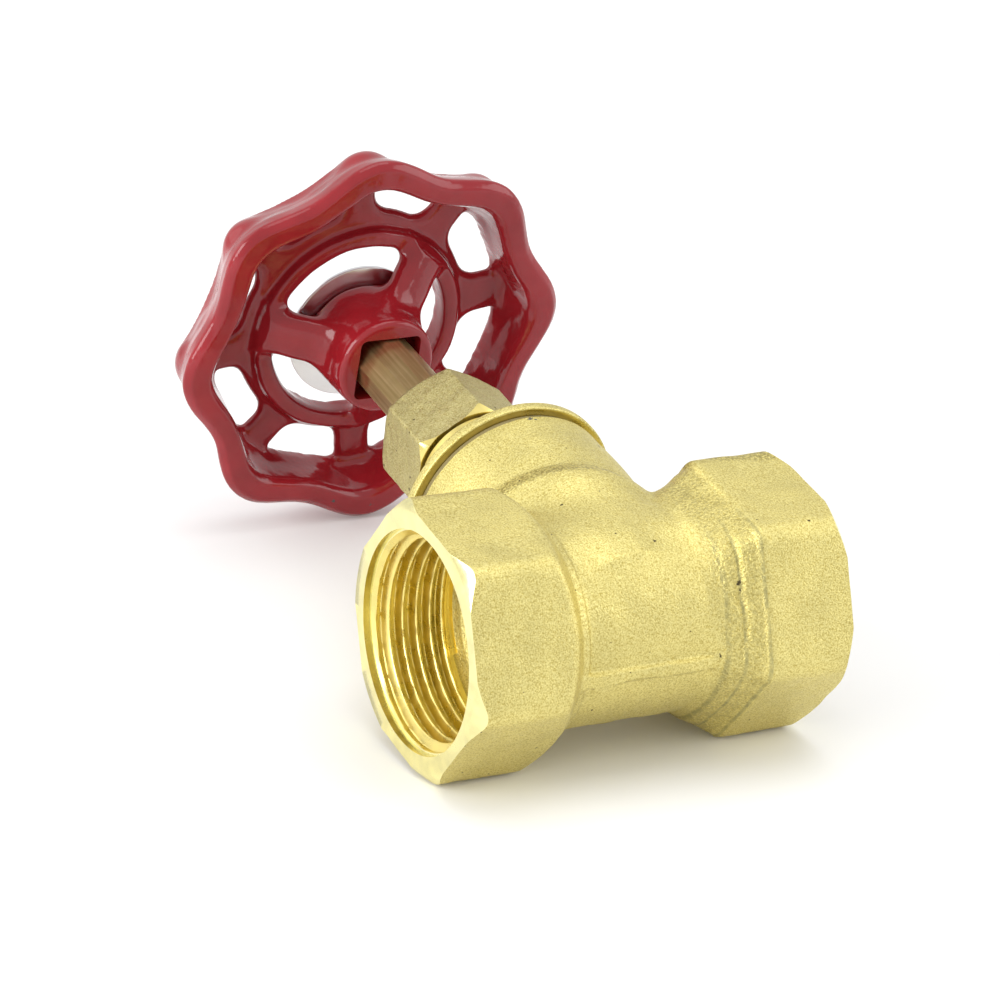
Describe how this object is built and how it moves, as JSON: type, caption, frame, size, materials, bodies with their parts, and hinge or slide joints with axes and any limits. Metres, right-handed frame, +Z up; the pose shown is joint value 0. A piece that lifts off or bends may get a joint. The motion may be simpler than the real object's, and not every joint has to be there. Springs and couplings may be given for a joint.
{
  "type": "gate valve",
  "caption": "Brass gate valve with threaded hexagonal ends and a red lobed handwheel that raises a wedge on a non-rising stem.",
  "frame": {"origin": "on the surface that the valve lies on, under the middle of its box", "axes": "+X along the flow to the outlet end, +Y along the stem's horizontal run to the handwheel, +Z up; the stem rises 9.3 degrees from +Y"},
  "size_m": [0.0684, 0.1176, 0.0677],
  "materials": {
    "cast_brass": "sand cast, matt and finely grained, machined bright on faces and threads",
    "turned_brass": "turned, bright",
    "stem_brass": "drawn bar, brown, with lengthways flats",
    "gasket": "matt fibre",
    "packing": "matt",
    "red_enamel": "glossy dipped enamel over cast iron",
    "disc_metal": "polished sheet",
    "zinc_steel": "zinc plated"
  },
  "bodies": {
    "valve": {"valve_body": "cast_brass", "bonnet": "cast_brass", "bonnet_gasket": "gasket", "packing_washer": "turned_brass", "packing_ring_1": "packing", "packing_ring_2": "packing", "packing_ring_3": "packing", "gland_follower": "turned_brass", "packing_nut": "cast_brass"},
    "wheel_and_stem": {"stem": "stem_brass", "handwheel": "red_enamel", "nameplate_disc": "disc_metal", "wheel_washer": "zinc_steel", "wheel_nut": "zinc_steel"},
    "gate": {"wedge_gate": "cast_brass"}
  },
  "joints": [
    {"name": "stem_turn", "type": "hinge", "parent": "valve", "child": "wheel_and_stem", "pos_m": [0, -0.03729, 0.02042], "axis": [0, 0.9868, 0.1619], "range_deg": [-2520, 0]},
    {"name": "gate_lift", "type": "slide", "parent": "valve", "child": "gate", "axis": [0, 0.9868, 0.1619], "range_m": [-0.021, 0]}
  ],
  "couplings": [
    {"joint": "gate_lift", "follows": "stem_turn", "m_per_rad": 0.00047746}
  ]
}
